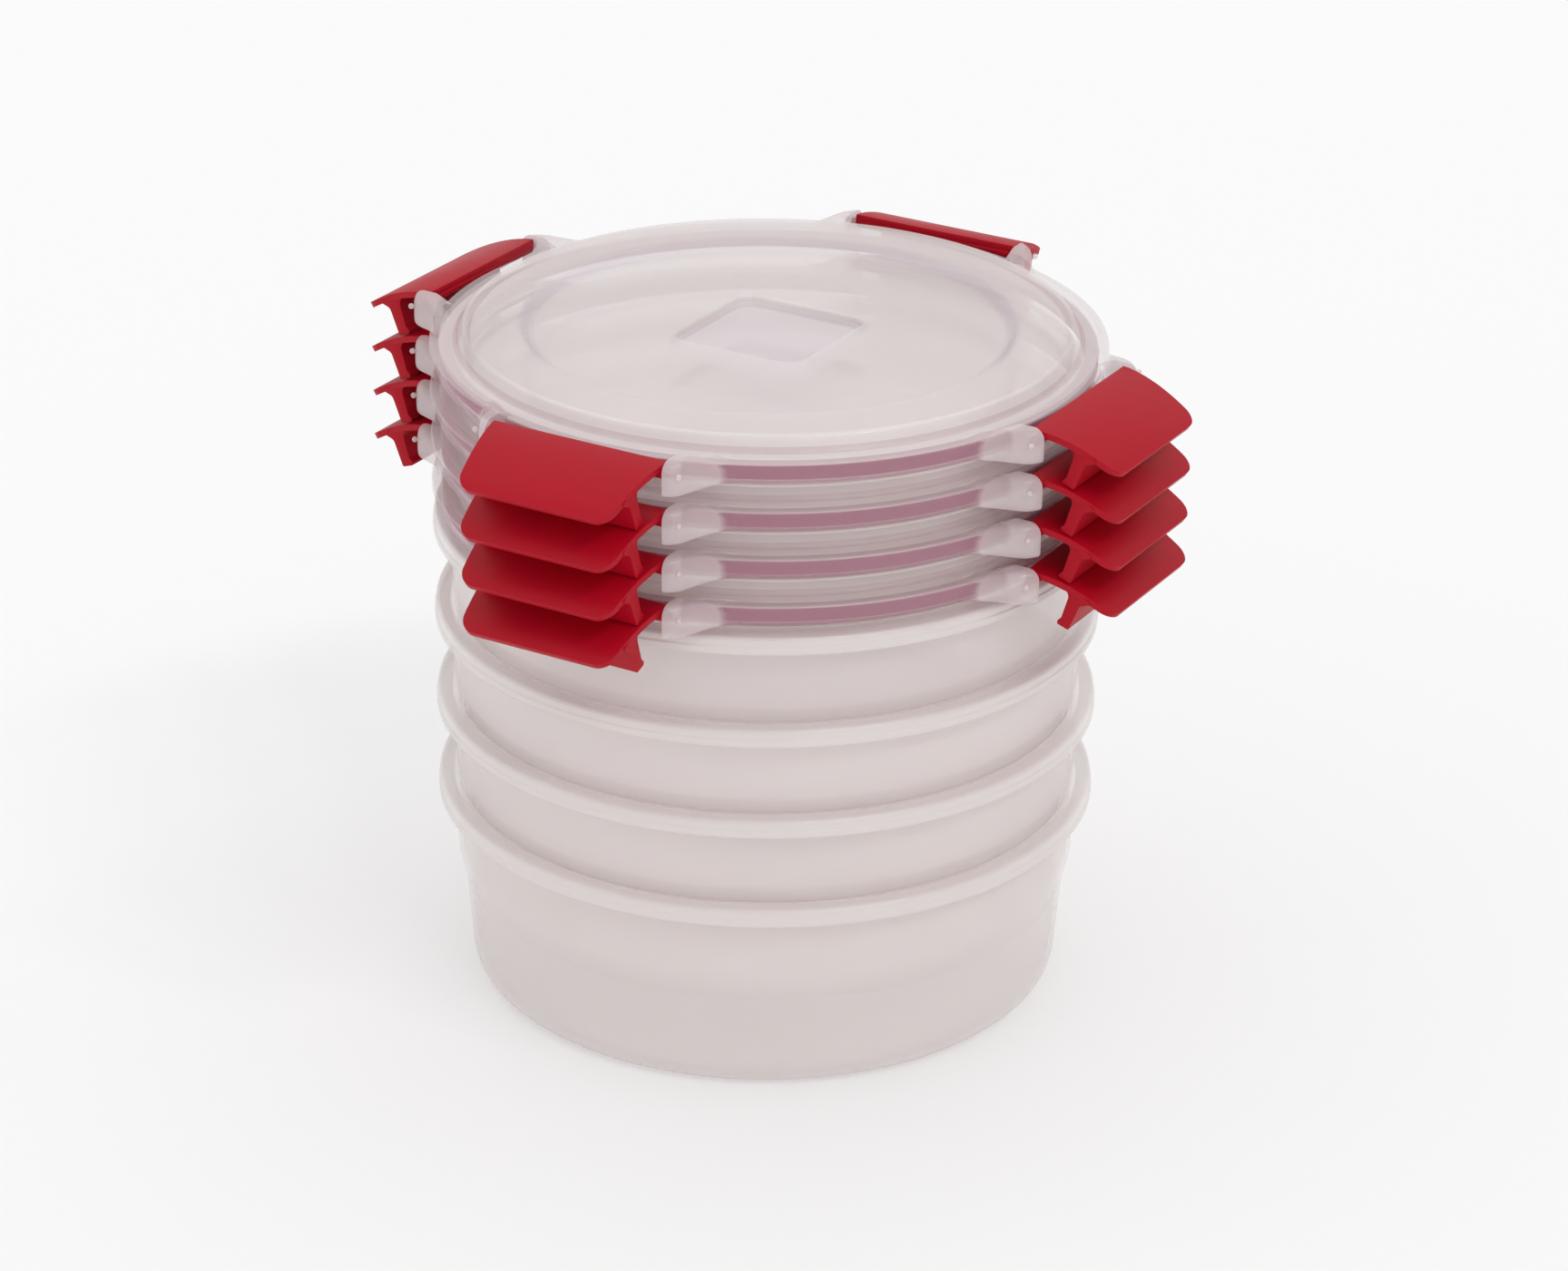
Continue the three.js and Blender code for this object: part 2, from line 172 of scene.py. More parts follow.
class FinishSettings(bpy.types.PropertyGroup):
    """Colours of the materials, some of which paint shade on the clear plastic."""

    clear: colour("Clear Plastic", "Frosted translucent plastic", 0.97, 0.915, 0.905)
    red: colour("Red Plastic", "Latch plastic", 0.43, 0.0005, 0.012)
    seal: colour("Seal", "Soft sealing ring", 0.40, 0.07, 0.15)
    # Besides the seal's colour in the skirt and ears, this colour paints a shadow line along the groove at
    # the crown's foot.
    glow: colour("Seal Glow", "Tinge that the seal gives the plastic over it", 0.40, 0.14, 0.22)
    # Darkened as painted shade, so that the top-lit flange comes out no lighter than the wall; the thicker
    # plastic round the rim is also more solid.
    rim: colour("Rim", "Thicker plastic round a tub's rim", 0.84, 0.785, 0.77)
    # Painted shade, lavender in tone, on the slope down to the lid's recess and in the square pocket.
    recess_shade: colour("Recess Edge", "Cooler tinge round the lid's recess", 0.66, 0.60, 0.76)
    floor: colour("Floor", "Floor and backdrop", 0.947, 0.947, 0.947)


# ---- Modelling helpers -------------------------------------------------------------------------


def rounded(corners, steps=5, closed=False):
    """Points of an outline given as [across, up, radius], each corner rounded by an arc."""
    points = []
    total = len(corners)
    for index, (across, up, radius) in enumerate(corners):
        corner = Vector((across, up))
        at_end = index in (0, total - 1) and not closed
        if radius == 0 or at_end:
            points.append(corner)
            continue
        before = Vector(corners[index - 1][:2]) - corner
        after = Vector(corners[(index + 1) % total][:2]) - corner
        half = before.angle(after) / 2
        reach = min(radius / math.tan(half), 0.49 * before.length, 0.49 * after.length)
        start = corner + before.normalized() * reach
        end = corner + after.normalized() * reach
        fitted = reach * math.tan(half)
        middle = corner + (before.normalized() + after.normalized()).normalized() * fitted / math.sin(half)
        sweep = (start - middle).angle_signed(end - middle)
        for step in range(steps + 1):
            points.append(middle + Matrix.Rotation(-sweep * step / steps, 2) @ (start - middle))
    return points


def spaced(points, gap):
    """A closed outline with more points along its straights."""
    dense = []
    for index, here in enumerate(points):
        there = points[(index + 1) % len(points)]
        count = max(1, round((there - here).length / gap))
        dense += [here.lerp(there, step / count) for step in range(count)]
    return dense


def deselect():
    """Leaves nothing selected, because an operator acts on all that is."""
    bpy.ops.object.select_all(action="DESELECT")


def draw(name, points, closed=False):
    """A chain of edges in the XZ plane, drawn by extruding one vertex from point to point."""
    deselect()
    start = points[0]
    bpy.ops.mesh.primitive_plane_add(size=MM, location=(start.x, 0, start.y))
    piece = bpy.context.object
    piece.name = name
    bpy.ops.object.transform_apply(location=True)
    bpy.ops.object.mode_set(mode="EDIT")
    bpy.ops.mesh.select_mode(type="VERT")
    bpy.ops.mesh.merge(type="CENTER")
    path = points + [points[0]] if closed else points
    for here, there in zip(path, path[1:]):
        way = there - here
        bpy.ops.mesh.extrude_region_move(TRANSFORM_OT_translate={"value": (way.x, 0, way.y)})
    bpy.ops.mesh.select_all(action="SELECT")
    bpy.ops.mesh.remove_doubles(threshold=0.001 * MM)
    return piece


def turn(name, corners, turns, closed=False, steps=5):
    """A piece turned about the Z axis from an outline of [radius, height, rounding]."""
    piece = draw(name, rounded(corners, steps, closed), closed)
    bpy.ops.mesh.select_all(action="SELECT")
    bpy.ops.mesh.spin(steps=turns, angle=2 * math.pi, center=(0, 0, 0), axis=(0, 0, 1))
    bpy.ops.mesh.select_all(action="SELECT")
    bpy.ops.mesh.remove_doubles(threshold=0.002 * MM)
    bpy.ops.mesh.normals_make_consistent(inside=False)
    bpy.ops.object.mode_set(mode="OBJECT")
    return piece


def prism(name, corners, start, end, steps=5):
    """A side outline of [outward, up, rounding], extruded along Y between two places."""
    piece = draw(name, rounded(corners, steps, closed=True), closed=True)
    bpy.ops.mesh.edge_face_add()
    bpy.ops.transform.translate(value=(0, start, 0))
    bpy.ops.mesh.extrude_region_move(TRANSFORM_OT_translate={"value": (0, end - start, 0)})
    bpy.ops.mesh.select_all(action="SELECT")
    bpy.ops.mesh.normals_make_consistent(inside=False)
    bpy.ops.object.mode_set(mode="OBJECT")
    return piece


def combine(piece, tool, operation):
    """Joins a tool to a piece, or cuts it away, and removes the tool.

    The weld closes hair-thin slits along the joint, which can make a later joint leave a stray wall.
    """
    deselect()
    bpy.context.view_layer.objects.active = piece
    piece.select_set(True)
    boolean = piece.modifiers.new(operation.title(), "BOOLEAN")
    boolean.operation = operation
    boolean.object = tool
    boolean.solver = "EXACT"
    bpy.ops.object.modifier_apply(modifier=boolean.name)
    bpy.data.objects.remove(tool)
    bpy.ops.object.mode_set(mode="EDIT")
    bpy.ops.mesh.select_all(action="SELECT")
    bpy.ops.mesh.remove_doubles(threshold=0.001 * MM)
    bpy.ops.object.mode_set(mode="OBJECT")
    return piece


def copy_of(piece, name, place):
    """A copy with a mesh of its own, moved and turned in its mesh."""
    mesh = piece.data.copy()
    mesh.name = name
    mesh.transform(place)
    duplicate = bpy.data.objects.new(name, mesh)
    bpy.context.scene.collection.objects.link(duplicate)
    return duplicate


def turned_by(degrees):
    """A turn about the upright axis."""
    return Matrix.Rotation(math.radians(degrees), 4, "Z")


def select_vertices(piece, test):
    """Selects the vertices whose place passes a test. Leaves the piece in edit mode."""
    bpy.context.view_layer.objects.active = piece
    bpy.ops.object.mode_set(mode="EDIT")
    bpy.ops.mesh.select_mode(type="VERT")
    bpy.ops.mesh.select_all(action="DESELECT")
    bpy.ops.object.mode_set(mode="OBJECT")
    for vertex in piece.data.vertices:
        vertex.select = test(vertex.co)
    bpy.ops.object.mode_set(mode="EDIT")


def soften(piece, width, segments=2, angle=40):
    """Rounds the edges that are sharper than an angle."""
    deselect()
    bpy.context.view_layer.objects.active = piece
    piece.select_set(True)
    bevel = piece.modifiers.new("Edges", "BEVEL")
    bevel.width = width
    bevel.segments = segments
    bevel.limit_method = "ANGLE"
    bevel.angle_limit = math.radians(angle)
    bpy.ops.object.modifier_apply(modifier=bevel.name)


def smooth(piece, angle=35):
    """Shades a piece smooth, apart from its sharp edges."""
    deselect()
    bpy.context.view_layer.objects.active = piece
    piece.select_set(True)
    bpy.ops.object.shade_smooth_by_angle(angle=math.radians(angle))


def flatten(piece):
    """Shades the level faces flat, so that no rounding beside them tilts their light."""
    for polygon in piece.data.polygons:
        if abs(polygon.normal.z) > 0.9999:
            polygon.use_smooth = False


def hand_over(piece, body, node, look):
    """Gives a finished piece its material, and its place in the frame."""
    piece.data.materials.clear()
    piece.data.materials.append(look)
    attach(piece, body)
    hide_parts(node)


# ---- Shader helpers ----------------------------------------------------------------------------


class Value:
    """A number in a shader: arithmetic on it adds Math nodes."""

    def __init__(self, tree, socket):
        self.tree = tree
        self.socket = socket

    def math(self, operation, *inputs, clamp=False):
        sockets = {i: v for i, v in enumerate(inputs)}
        node = self.tree.node("ShaderNodeMath", {"operation": operation, "use_clamp": clamp}, sockets)
        return Value(self.tree, node.outputs[0])

    def __add__(self, other):
        return self.math("ADD", self, other)

    def __sub__(self, other):
        return self.math("SUBTRACT", self, other)

    def __rsub__(self, other):
        return self.math("SUBTRACT", other, self)

    def __mul__(self, other):
        return self.math("MULTIPLY", self, other)

    __radd__ = __add__
    __rmul__ = __mul__

    def step_up(self, edge, width):
        """0 below an edge and 1 above it, with a soft crossing of a given width."""
        return self.math("MULTIPLY", self - (edge - width / 2), 1 / width, clamp=True)


class Tree:
    """The node tree of one new material."""

    def __init__(self, name):
        self.material = bpy.data.materials.new(name)
        self.material.use_nodes = True
        self.nodes = self.material.node_tree.nodes
        self.links = self.material.node_tree.links
        self.nodes.clear()

    def node(self, kind, settings=None, sockets=None):
        """Adds a node, with its settings first, then the values or links of its sockets."""
        node = self.nodes.new(kind)
        for key, value in (settings or {}).items():
            setattr(node, key, value)
        for key, value in (sockets or {}).items():
            if isinstance(value, Value):
                value = value.socket
            if isinstance(value, bpy.types.NodeSocket):
                self.links.new(value, node.inputs[key])
            else:
                node.inputs[key].default_value = value
        return node

    def place(self):
        """The point being shaded."""
        return self.node("ShaderNodeTexCoord").outputs["Object"]

    def noise(self, size, detail=2, rough=0.5, stretch=(1, 1, 1)):
        """Soft noise between 0 and 1 whose blobs are about a given size in metres."""
        mapping = self.node("ShaderNodeMapping", {}, {"Vector": self.place(), "Scale": stretch})
        sockets = {"Vector": mapping.outputs[0], "Scale": 1 / size, "Detail": detail, "Roughness": rough}
        return Value(self, self.node("ShaderNodeTexNoise", {}, sockets).outputs["Fac"])

    def radius(self):
        """Distance from the upright axis."""
        flat = self.node("ShaderNodeVectorMath", {"operation": "MULTIPLY"}, {0: self.place(), 1: (1, 1, 0)})
        span = self.node("ShaderNodeVectorMath", {"operation": "LENGTH"}, {0: flat.outputs[0]})
        return Value(self, span.outputs["Value"])

    def height(self):
        """Height above the ground."""
        return Value(self, self.node("ShaderNodeSeparateXYZ", {}, {0: self.place()}).outputs["Z"])

    def blend(self, mask, low, high):
        """One colour socket or value mixed into another, by a mask."""
        sockets = {"Factor": mask, 6: low, 7: high}
        return self.node("ShaderNodeMix", {"data_type": "RGBA"}, sockets).outputs[2]

    def between(self, mask, low, high):
        """A colour between two others, by a mask."""
        return self.blend(mask, (*low, 1), (*high, 1))

    def bump(self, height, distance, strength):
        """A normal roughened by a height."""
        sockets = {"Height": height, "Distance": distance, "Strength": strength}
        return self.node("ShaderNodeBump", {}, sockets).outputs[0]

    def finish(self, sockets):
        """Ends the tree in one Principled shader, and gives the material."""
        shader = self.node("ShaderNodeBsdfPrincipled", {}, sockets)
        output = self.node("ShaderNodeOutputMaterial")
        self.links.new(shader.outputs[0], output.inputs["Surface"])
        return self.material


def shade(colour_value, factor):
    """A colour made lighter or darker."""
    return tuple(min(1.0, channel * factor) for channel in colour_value)


def clear_plastic(tree, tint, tinges_and_shades, solid):
    """Frosted translucent polypropylene: milky, with flow marks and a fine satin grain.

    Each tinge is a share and the colour that it mixes in; some of them are painted shade. The plastic is as
    see-through as it isn't solid.
    """
    cloud = tree.noise(45 * MM, detail=3)
    flow = tree.noise(20 * MM, detail=3, stretch=(1, 1, 0.25))
    grain = tree.noise(0.4 * MM, detail=2)
    scuffs = tree.noise(4 * MM, detail=4, rough=0.7)
    milk = tree.between(cloud, shade(tint, 0.98), shade(tint, 1.01))
    # Mixes in each tinge, painted shade among them.
    for share, tinge in tinges_and_shades:
        milk = tree.blend(share, milk, (*tinge, 1))
    return tree.finish({
        "Base Color": milk,
        "Roughness": 0.26 + 0.05 * flow + 0.04 * scuffs,
        "Normal": tree.bump(grain, 0.01 * MM, 0.15),
        "Alpha": solid,
        "IOR": 1.49,
        "Specular IOR Level": 0.8,
        "Coat Weight": 0.6,
        "Coat Roughness": 0.07,
    })


def tub_plastic(tint, rim_shade):
    """A tub: one wall looks clear, and the flange and band round its rim more solid, and darker as painted
    shade so that the top-lit flange matches the wall.
    """
    tree = Tree("frosted_tub_plastic")
    flange_start, base_top = RIM_RADIUS - 4.3 * MM, 3 * MM
    rim = tree.radius().step_up(flange_start, 0.5 * MM)
    base = 1 - tree.height().step_up(base_top, 8 * MM)
    # The rim's colour share is painted shade; its extra solidity stands for the thicker plastic.
    return clear_plastic(tree, tint, [(0.9 * rim, rim_shade)], 0.37 + 0.25 * rim + 0.04 * base)


def height_on_lid(tree):
    """Height above the ledge of whichever lid of the stack is being shaded."""
    lowest = lid_ledge(1) - LID_BELOW
    return tree.height().math("FLOORED_MODULO", tree.height() - lowest, LID_PITCH) - LID_BELOW


def lid_plastic(lid, finish):
    """A lid: clear in its thin skirt, where the seal's colour spreads into it, and solid in its ears. A
    painted shadow line runs along the crown's foot, and lavender painted shade lies on the recess slope and
    in the pocket.
    """
    tree = Tree("frosted_lid_plastic")
    radius, height = tree.radius(), height_on_lid(tree)
    crown_foot = RIM_RADIUS - lid.ledge
    recess = crown_foot - lid.crown_taper - lid.crown_width
    pocket_reach = 1.48 * lid.pocket

    outer = radius.step_up(crown_foot - 3 * MM, 1 * MM)
    thin = radius.step_up(RIM_RADIUS - 2.6 * MM, 0.4 * MM)
    ear = radius.step_up(RIM_RADIUS + 0.5 * MM, 0.8 * MM)
    skirt = (1 - height.step_up(-0.5 * MM, 0.5 * MM)) * height.step_up(-5.9 * MM, 0.4 * MM)
    # Painted shadow line along the groove at the crown's foot.
    groove = radius.math("COMPARE", radius, crown_foot, 0.7 * MM) * height.step_up(-1 * MM, 0.2 * MM)
    # Painted shade on the slope down to the recess.
    slope_start, slope_end = recess - 3.2 * MM, recess + 0.8 * MM
    slope = radius.step_up(slope_start, 1 * MM) * (1 - radius.step_up(slope_end, 1 * MM))
    # The pocket takes painted shade, and is made more solid.
    pocket = (1 - radius.step_up(pocket_reach, 1 * MM)) * (1 - height.step_up(0.1 * MM, 0.5 * MM))

    seal_share = 0.85 * thin * skirt * (1 - ear)
    # The groove, slope and pocket shares paint shade; the skirt and ear shares carry the seal's colour.
    tinges_and_shades = [(seal_share, finish.glow), (0.26 * ear, finish.glow), (0.35 * groove, finish.glow),
              (0.3 * slope, finish.recess_shade), (0.25 * pocket, finish.recess_shade)]
    solid = 0.34 + 0.10 * outer - 0.15 * thin + 0.17 * ear + 0.10 * pocket
    return clear_plastic(tree, finish.clear, tinges_and_shades, solid)


def red_plastic(name, tint):
    """Satin polypropylene with a fine moulded texture."""
    tree = Tree(name)
    grain = tree.noise(0.35 * MM, detail=2)
    cloud = tree.noise(12 * MM, detail=3)
    scuffs = tree.noise(3 * MM, detail=5, rough=0.7)
    return tree.finish({
        "Base Color": tree.between(cloud, shade(tint, 0.94), shade(tint, 1.05)),
        "Roughness": 0.36 + 0.10 * cloud + 0.08 * scuffs,
        "Normal": tree.bump(grain, 0.03 * MM, 0.3),
        "IOR": 1.49,
        "Specular IOR Level": 0.2,
    })


def seal_rubber(name, tint):
    """Soft matt silicone."""
    tree = Tree(name)
    cloud = tree.noise(6 * MM, detail=3)
    return tree.finish({
        "Base Color": tree.between(cloud, shade(tint, 0.92), shade(tint, 1.08)),
        "Roughness": 0.55 + 0.12 * cloud,
        "Normal": tree.bump(tree.noise(0.6 * MM), 0.02 * MM, 0.3),
        "Subsurface Weight": 0.15,
        "Subsurface Radius": (2 * MM, 1 * MM, 1 * MM),
    })


def stage_paint(name, tint, shadow):
    """Matt paint that glows at its own colour to the eye, so that only a share of the shadow is left."""
    tree = Tree(name)
    cloud = tree.noise(300 * MM, detail=2)
    paint = tree.node("ShaderNodeBsdfDiffuse", {}, {"Color": tree.between(cloud, shade(tint, 0.999), tint)})
    glow = tree.node("ShaderNodeEmission", {}, {"Color": (*tint, 1), "Strength": 1.0})
    rays = tree.node("ShaderNodeLightPath")
    direct, through = (Value(tree, rays.outputs[f"Is {kind} Ray"]) for kind in ("Camera", "Transmission"))
    seen = direct.math("MAXIMUM", direct, through)
    sockets = {0: seen * (1 - shadow), 1: paint.outputs[0], 2: glow.outputs[0]}
    mix = tree.node("ShaderNodeMixShader", {}, sockets)
    output = tree.node("ShaderNodeOutputMaterial")
    tree.links.new(mix.outputs[0], output.inputs["Surface"])
    return tree.material


# ---- Tub ---------------------------------------------------------------------------------------


def mouth_radius(tub):
    """Inside radius of a tub's mouth."""
    return RIM_RADIUS - tub.flange - tub.wall


def tub_corners(tub):
    """The tub's section from the middle of its base, up the outside and down the inside."""
    wall = RIM_RADIUS - tub.flange
    shoulder = wall - tub.upper_taper
    lower = shoulder - tub.step
    steepness = tub.shoulder / tub.step
    seat = mouth_radius(tub) - tub.gap * math.hypot(1, 1 / steepness)
    shoulder_foot = TUB_HEIGHT - NEST_PITCH - (seat - lower) * steepness
    foot = lower - tub.lower_taper
    ring = foot - tub.foot_radius - tub.foot_ring
    soft = tub.wall * 0.9
    fine = tub.wall * 0.35
    return [
        (0, tub.recess, 0),
        (ring, tub.recess, fine),
        (ring, 0, fine),
        (foot, 0, tub.foot_radius),
        (lower, shoulder_foot, tub.shoulder),
        (shoulder, shoulder_foot + tub.shoulder, tub.shoulder),
        (wall, TUB_HEIGHT - tub.wall, soft / 2),
        (RIM_RADIUS - tub.wall, TUB_HEIGHT - tub.wall, soft / 2),
        (RIM_RADIUS - tub.wall, TUB_HEIGHT - tub.band, fine),
        (RIM_RADIUS, TUB_HEIGHT - tub.band, fine),
        (RIM_RADIUS, TUB_HEIGHT - 0.6 * tub.band, fine / 2),
        (RIM_RADIUS - tub.band_step, TUB_HEIGHT - 0.5 * tub.band, fine / 2),
        (RIM_RADIUS - tub.band_step, TUB_HEIGHT, soft),
        (mouth_radius(tub), TUB_HEIGHT, fine),
        (shoulder - tub.wall, shoulder_foot + tub.shoulder, tub.shoulder),
        (lower - tub.wall, shoulder_foot, tub.shoulder),
        (foot - tub.wall, tub.recess + tub.wall, tub.foot_radius - tub.wall),
        (0, tub.recess + tub.wall, 0),
    ]


class TUBS_OT_tubs(bpy.types.Operator):
    """Model one tub and nest four copies"""

    bl_idname = "storage.tubs"
    bl_label = "Tubs"

    def execute(self, context):
        tub = context.scene.storage_tub
        finish = context.scene.storage_finish
        look = tub_plastic(finish.clear, finish.rim)
        first = turn("tub_body", tub_corners(tub), tub.turns)
        smooth(first)
        for number in range(1, COUNT + 1):
            lift = Matrix.Translation((0, 0, (number - 1) * NEST_PITCH))
            piece = copy_of(first, f"tub_{number}_moulding", lift)
            hand_over(piece, f"tub_{number}", f"tub_{number}", look)
        bpy.data.objects.remove(first)
        return {"FINISHED"}


# ---- Lid ---------------------------------------------------------------------------------------


def lid_corners(lid, tub):
    """The lid's section, with the ledge at height zero."""
    crown = RIM_RADIUS - lid.ledge
    crown_top = crown - lid.crown_taper
    recess = crown_top - lid.crown_width
    floor = lid.crown - lid.recess
    skirt = RIM_RADIUS - lid.skirt_taper
    plug = crown_top - lid.wall / 8
    plug_foot = mouth_radius(tub) + lid.overlap
    soft = lid.wall * 0.8
    fine = lid.wall * 0.3
    return [
        (0, floor - lid.wall, 0),
        (recess - lid.recess_slope, floor - lid.wall, soft),
        (recess, lid.crown - lid.wall, soft),
        (plug - lid.plug_wall, lid.crown - lid.wall, soft),
        (plug - lid.plug_wall, -lid.plug, fine),
        (plug_foot, -lid.plug, fine),
        (plug_foot, -lid.plug + lid.plug_foot, fine),
        (plug, -lid.plug + 2 * lid.plug_foot, fine),
        (plug, -lid.wall, fine),
        (skirt - lid.wall, -lid.wall, fine),
        (skirt - lid.wall, -lid.skirt, fine),
        (skirt, -lid.skirt, fine),
        (RIM_RADIUS, -lid.wall, soft),
        (RIM_RADIUS, 0, soft),
        (crown, 0, soft),
        (crown_top, lid.crown, soft),
        (recess, lid.crown, soft),
        (recess - lid.recess_slope, floor, soft),
        (0, floor, 0),
    ]


def rounded_block(name, half, corner, bottom, top, lip=0.0, lean=0.0):
    """A square block with rounded upright corners. A lip flares its top edge outwards."""
    deselect()
    bpy.ops.mesh.primitive_plane_add(size=2 * half, location=(0, 0, bottom))
    piece = bpy.context.object
    piece.name = name
    bpy.ops.object.transform_apply(location=True)
    bpy.ops.object.mode_set(mode="EDIT")
    bpy.ops.mesh.select_mode(type="VERT")
    bpy.ops.mesh.select_all(action="SELECT")
    bpy.ops.mesh.bevel(offset=corner, segments=10, affect="VERTICES", offset_type="OFFSET")
    bpy.ops.mesh.select_mode(type="FACE")
    bpy.ops.mesh.select_all(action="SELECT")
    steps = 6
    height = top - bottom - lip
    round_foot = min(0.8 * MM, height / 2)
    levels = []
    for step in range(1, steps + 1):
        angle = math.pi / 2 * step / steps
        levels.append((round_foot * (1 - math.cos(angle)), round_foot * (math.sin(angle) - 1)))
    levels.append((height, lean))
    for step in range(1, steps + 1):
        angle = math.pi / 2 * step / steps
        levels.append((height + lip * math.sin(angle), lean + lip * (1 - math.cos(angle))))
    bpy.ops.transform.resize(value=(1 - round_foot / half, 1 - round_foot / half, 1))
    reached, size = 0.0, half - round_foot
    for up, out in levels:
        bpy.ops.mesh.extrude_region_move(TRANSFORM_OT_translate={"value": (0, 0, up - reached)})
        grown = (half + out) / size
        bpy.ops.transform.resize(value=(grown, grown, 1))
        reached, size = up, half + out
    if lip:
        bpy.ops.mesh.extrude_region_move(TRANSFORM_OT_translate={"value": (0, 0, 2 * MM)})
    bpy.ops.mesh.select_all(action="SELECT")
    bpy.ops.mesh.normals_make_consistent(inside=False)
    bpy.ops.object.mode_set(mode="OBJECT")
    return piece


def sink_pocket(piece, lid):
    """Adds the square pocket in the middle: a boss below, and the hollow from above."""
    surface = lid.crown - lid.recess
    floor = surface - lid.pocket_depth
    boss = rounded_block("boss", lid.pocket + lid.wall, lid.pocket_corner + lid.wall,
                         floor - lid.wall, surface - lid.wall / 2)
    combine(piece, boss, "UNION")
    hollow = rounded_block("hollow", lid.pocket - 0.8 * MM, lid.pocket_corner,
                           floor, surface, lip=0.8 * MM, lean=0.4 * MM)
    return combine(piece, hollow, "DIFFERENCE")


def ear_outline(lid, root):
    """An ear from its side, in [outward, up, rounding], with the ledge at height zero."""
    return [
        (root, -lid.ear_drop, 0),
        (EAR_END, -lid.ear_drop, lid.ear_foot_radius),
        (EAR_END, lid.ear_rise, lid.ear_top_radius),
        (RIM_RADIUS - lid.wall, lid.ear_rise, 2 * lid.wall),
        (root, -lid.wall / 2, 0),
    ]


def ear_and_flare(lid, inner_face):
    """One ear at +X with the swelling of the rim outside it, as one loft along Y."""
    outer_face = inner_face + lid.ear
    root = RIM_RADIUS - lid.skirt_taper - lid.wall - (EAR_END - RIM_RADIUS)
    outline = spaced(rounded(ear_outline(lid, root), 6, closed=True), 0.7 * MM)
    piece = draw("ear", outline, closed=True)
    bpy.ops.mesh.edge_face_add()
    bpy.ops.transform.translate(value=(0, inner_face, 0))
    bpy.ops.mesh.extrude_region_move(TRANSFORM_OT_translate={"value": (0, lid.ear, 0)})
    stations = 18
    sweep_power = 2.4
    end_thinning = 0.45
    sunk, dip = 0.4 * MM, 0.15 * MM
    reach = EAR_END - rim_at(outer_face)
    here = Vector((0, outer_face))
    span, tall, lowest = EAR_END - root, lid.ear_rise + lid.ear_drop, -lid.ear_drop
    middle_x = (EAR_END + root) / 2
    for station in range(1, stations + 1):
        share = station / stations
        y = outer_face + lid.flare * share
        outer = rim_at(y) - sunk * share + reach * (1 - share) ** sweep_power
        inner = outer - (EAR_END - root) * (1 - end_thinning * share)
        ease = 1 - (1 - share) ** 2
        top = lid.ear_rise * (1 - ease) - dip * ease
        bottom = -lid.ear_drop * (1 - ease) - lid.skirt * ease
        move = Vector(((outer + inner) / 2 - middle_x, y - here.y, bottom - lowest))
        bpy.ops.mesh.extrude_region_move(TRANSFORM_OT_translate={"value": move})
        middle_x, here.y, lowest = (outer + inner) / 2, y, bottom
        scale = ((outer - inner) / span, 1, (top - bottom) / tall)
        bpy.ops.transform.resize(value=scale, center_override=(middle_x, y, bottom))
        span, tall = outer - inner, top - bottom
    bpy.ops.mesh.select_all(action="SELECT")
    bpy.ops.mesh.normals_make_consistent(inside=False)
    bpy.ops.object.mode_set(mode="OBJECT")
    select_vertices(piece, lambda co: co.y > outer_face - 0.1 * MM)
    bpy.ops.mesh.vertices_smooth(factor=0.5, repeat=8)
    bpy.ops.object.mode_set(mode="OBJECT")
    soften(piece, 0.45 * MM, 3, angle=60)
    return combine(piece, pivot_mark(outer_face), "UNION")


def pivot_mark(outer_face):
    """The small round mark that the moulding has over the hinge pin."""
    deselect()
    place = (PIN_AT.x + 1 * MM, outer_face + 1.3 * MM, PIN_AT.z - lid_ledge(1))
    bpy.ops.mesh.primitive_uv_sphere_add(segments=20, ring_count=12, radius=0.8 * MM, location=place)
    mark = bpy.context.object
    bpy.ops.object.transform_apply(location=True)
    return mark


def rim_at(y):
    """How far out the rim is at a distance from the X axis."""
    return math.sqrt(RIM_RADIUS**2 - y**2)


def cylinder(name, radius, bottom, top):
    """An upright cylinder, as a tool to cut with."""
    deselect()
    bpy.ops.mesh.primitive_cylinder_add(vertices=192, radius=radius, depth=top - bottom,
                                        location=(0, 0, (top + bottom) / 2))
    piece = bpy.context.object
    piece.name = name
    bpy.ops.object.transform_apply(location=True)
    return piece


def pin_socket(lid, latch, inner_face):
    """The blind hole that a hinge pin turns in."""
    deselect()
    depth = latch.pin_length + 0.3 * MM
    bpy.ops.mesh.primitive_cylinder_add(vertices=32, radius=latch.pin + 0.15 * MM, depth=2 * depth,
                                        rotation=(math.pi / 2, 0, 0),
                                        location=(PIN_AT.x, inner_face - 0.3 * MM, PIN_AT.z - lid_ledge(1)))
    piece = bpy.context.object
    bpy.ops.object.transform_apply(location=True, rotation=True)
    return piece


def lid_ledge(number):
    """Height of a lid's ledge."""
    lid = bpy.context.scene.storage_lid
    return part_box(f"lid_{number}")[1].z - lid.crown


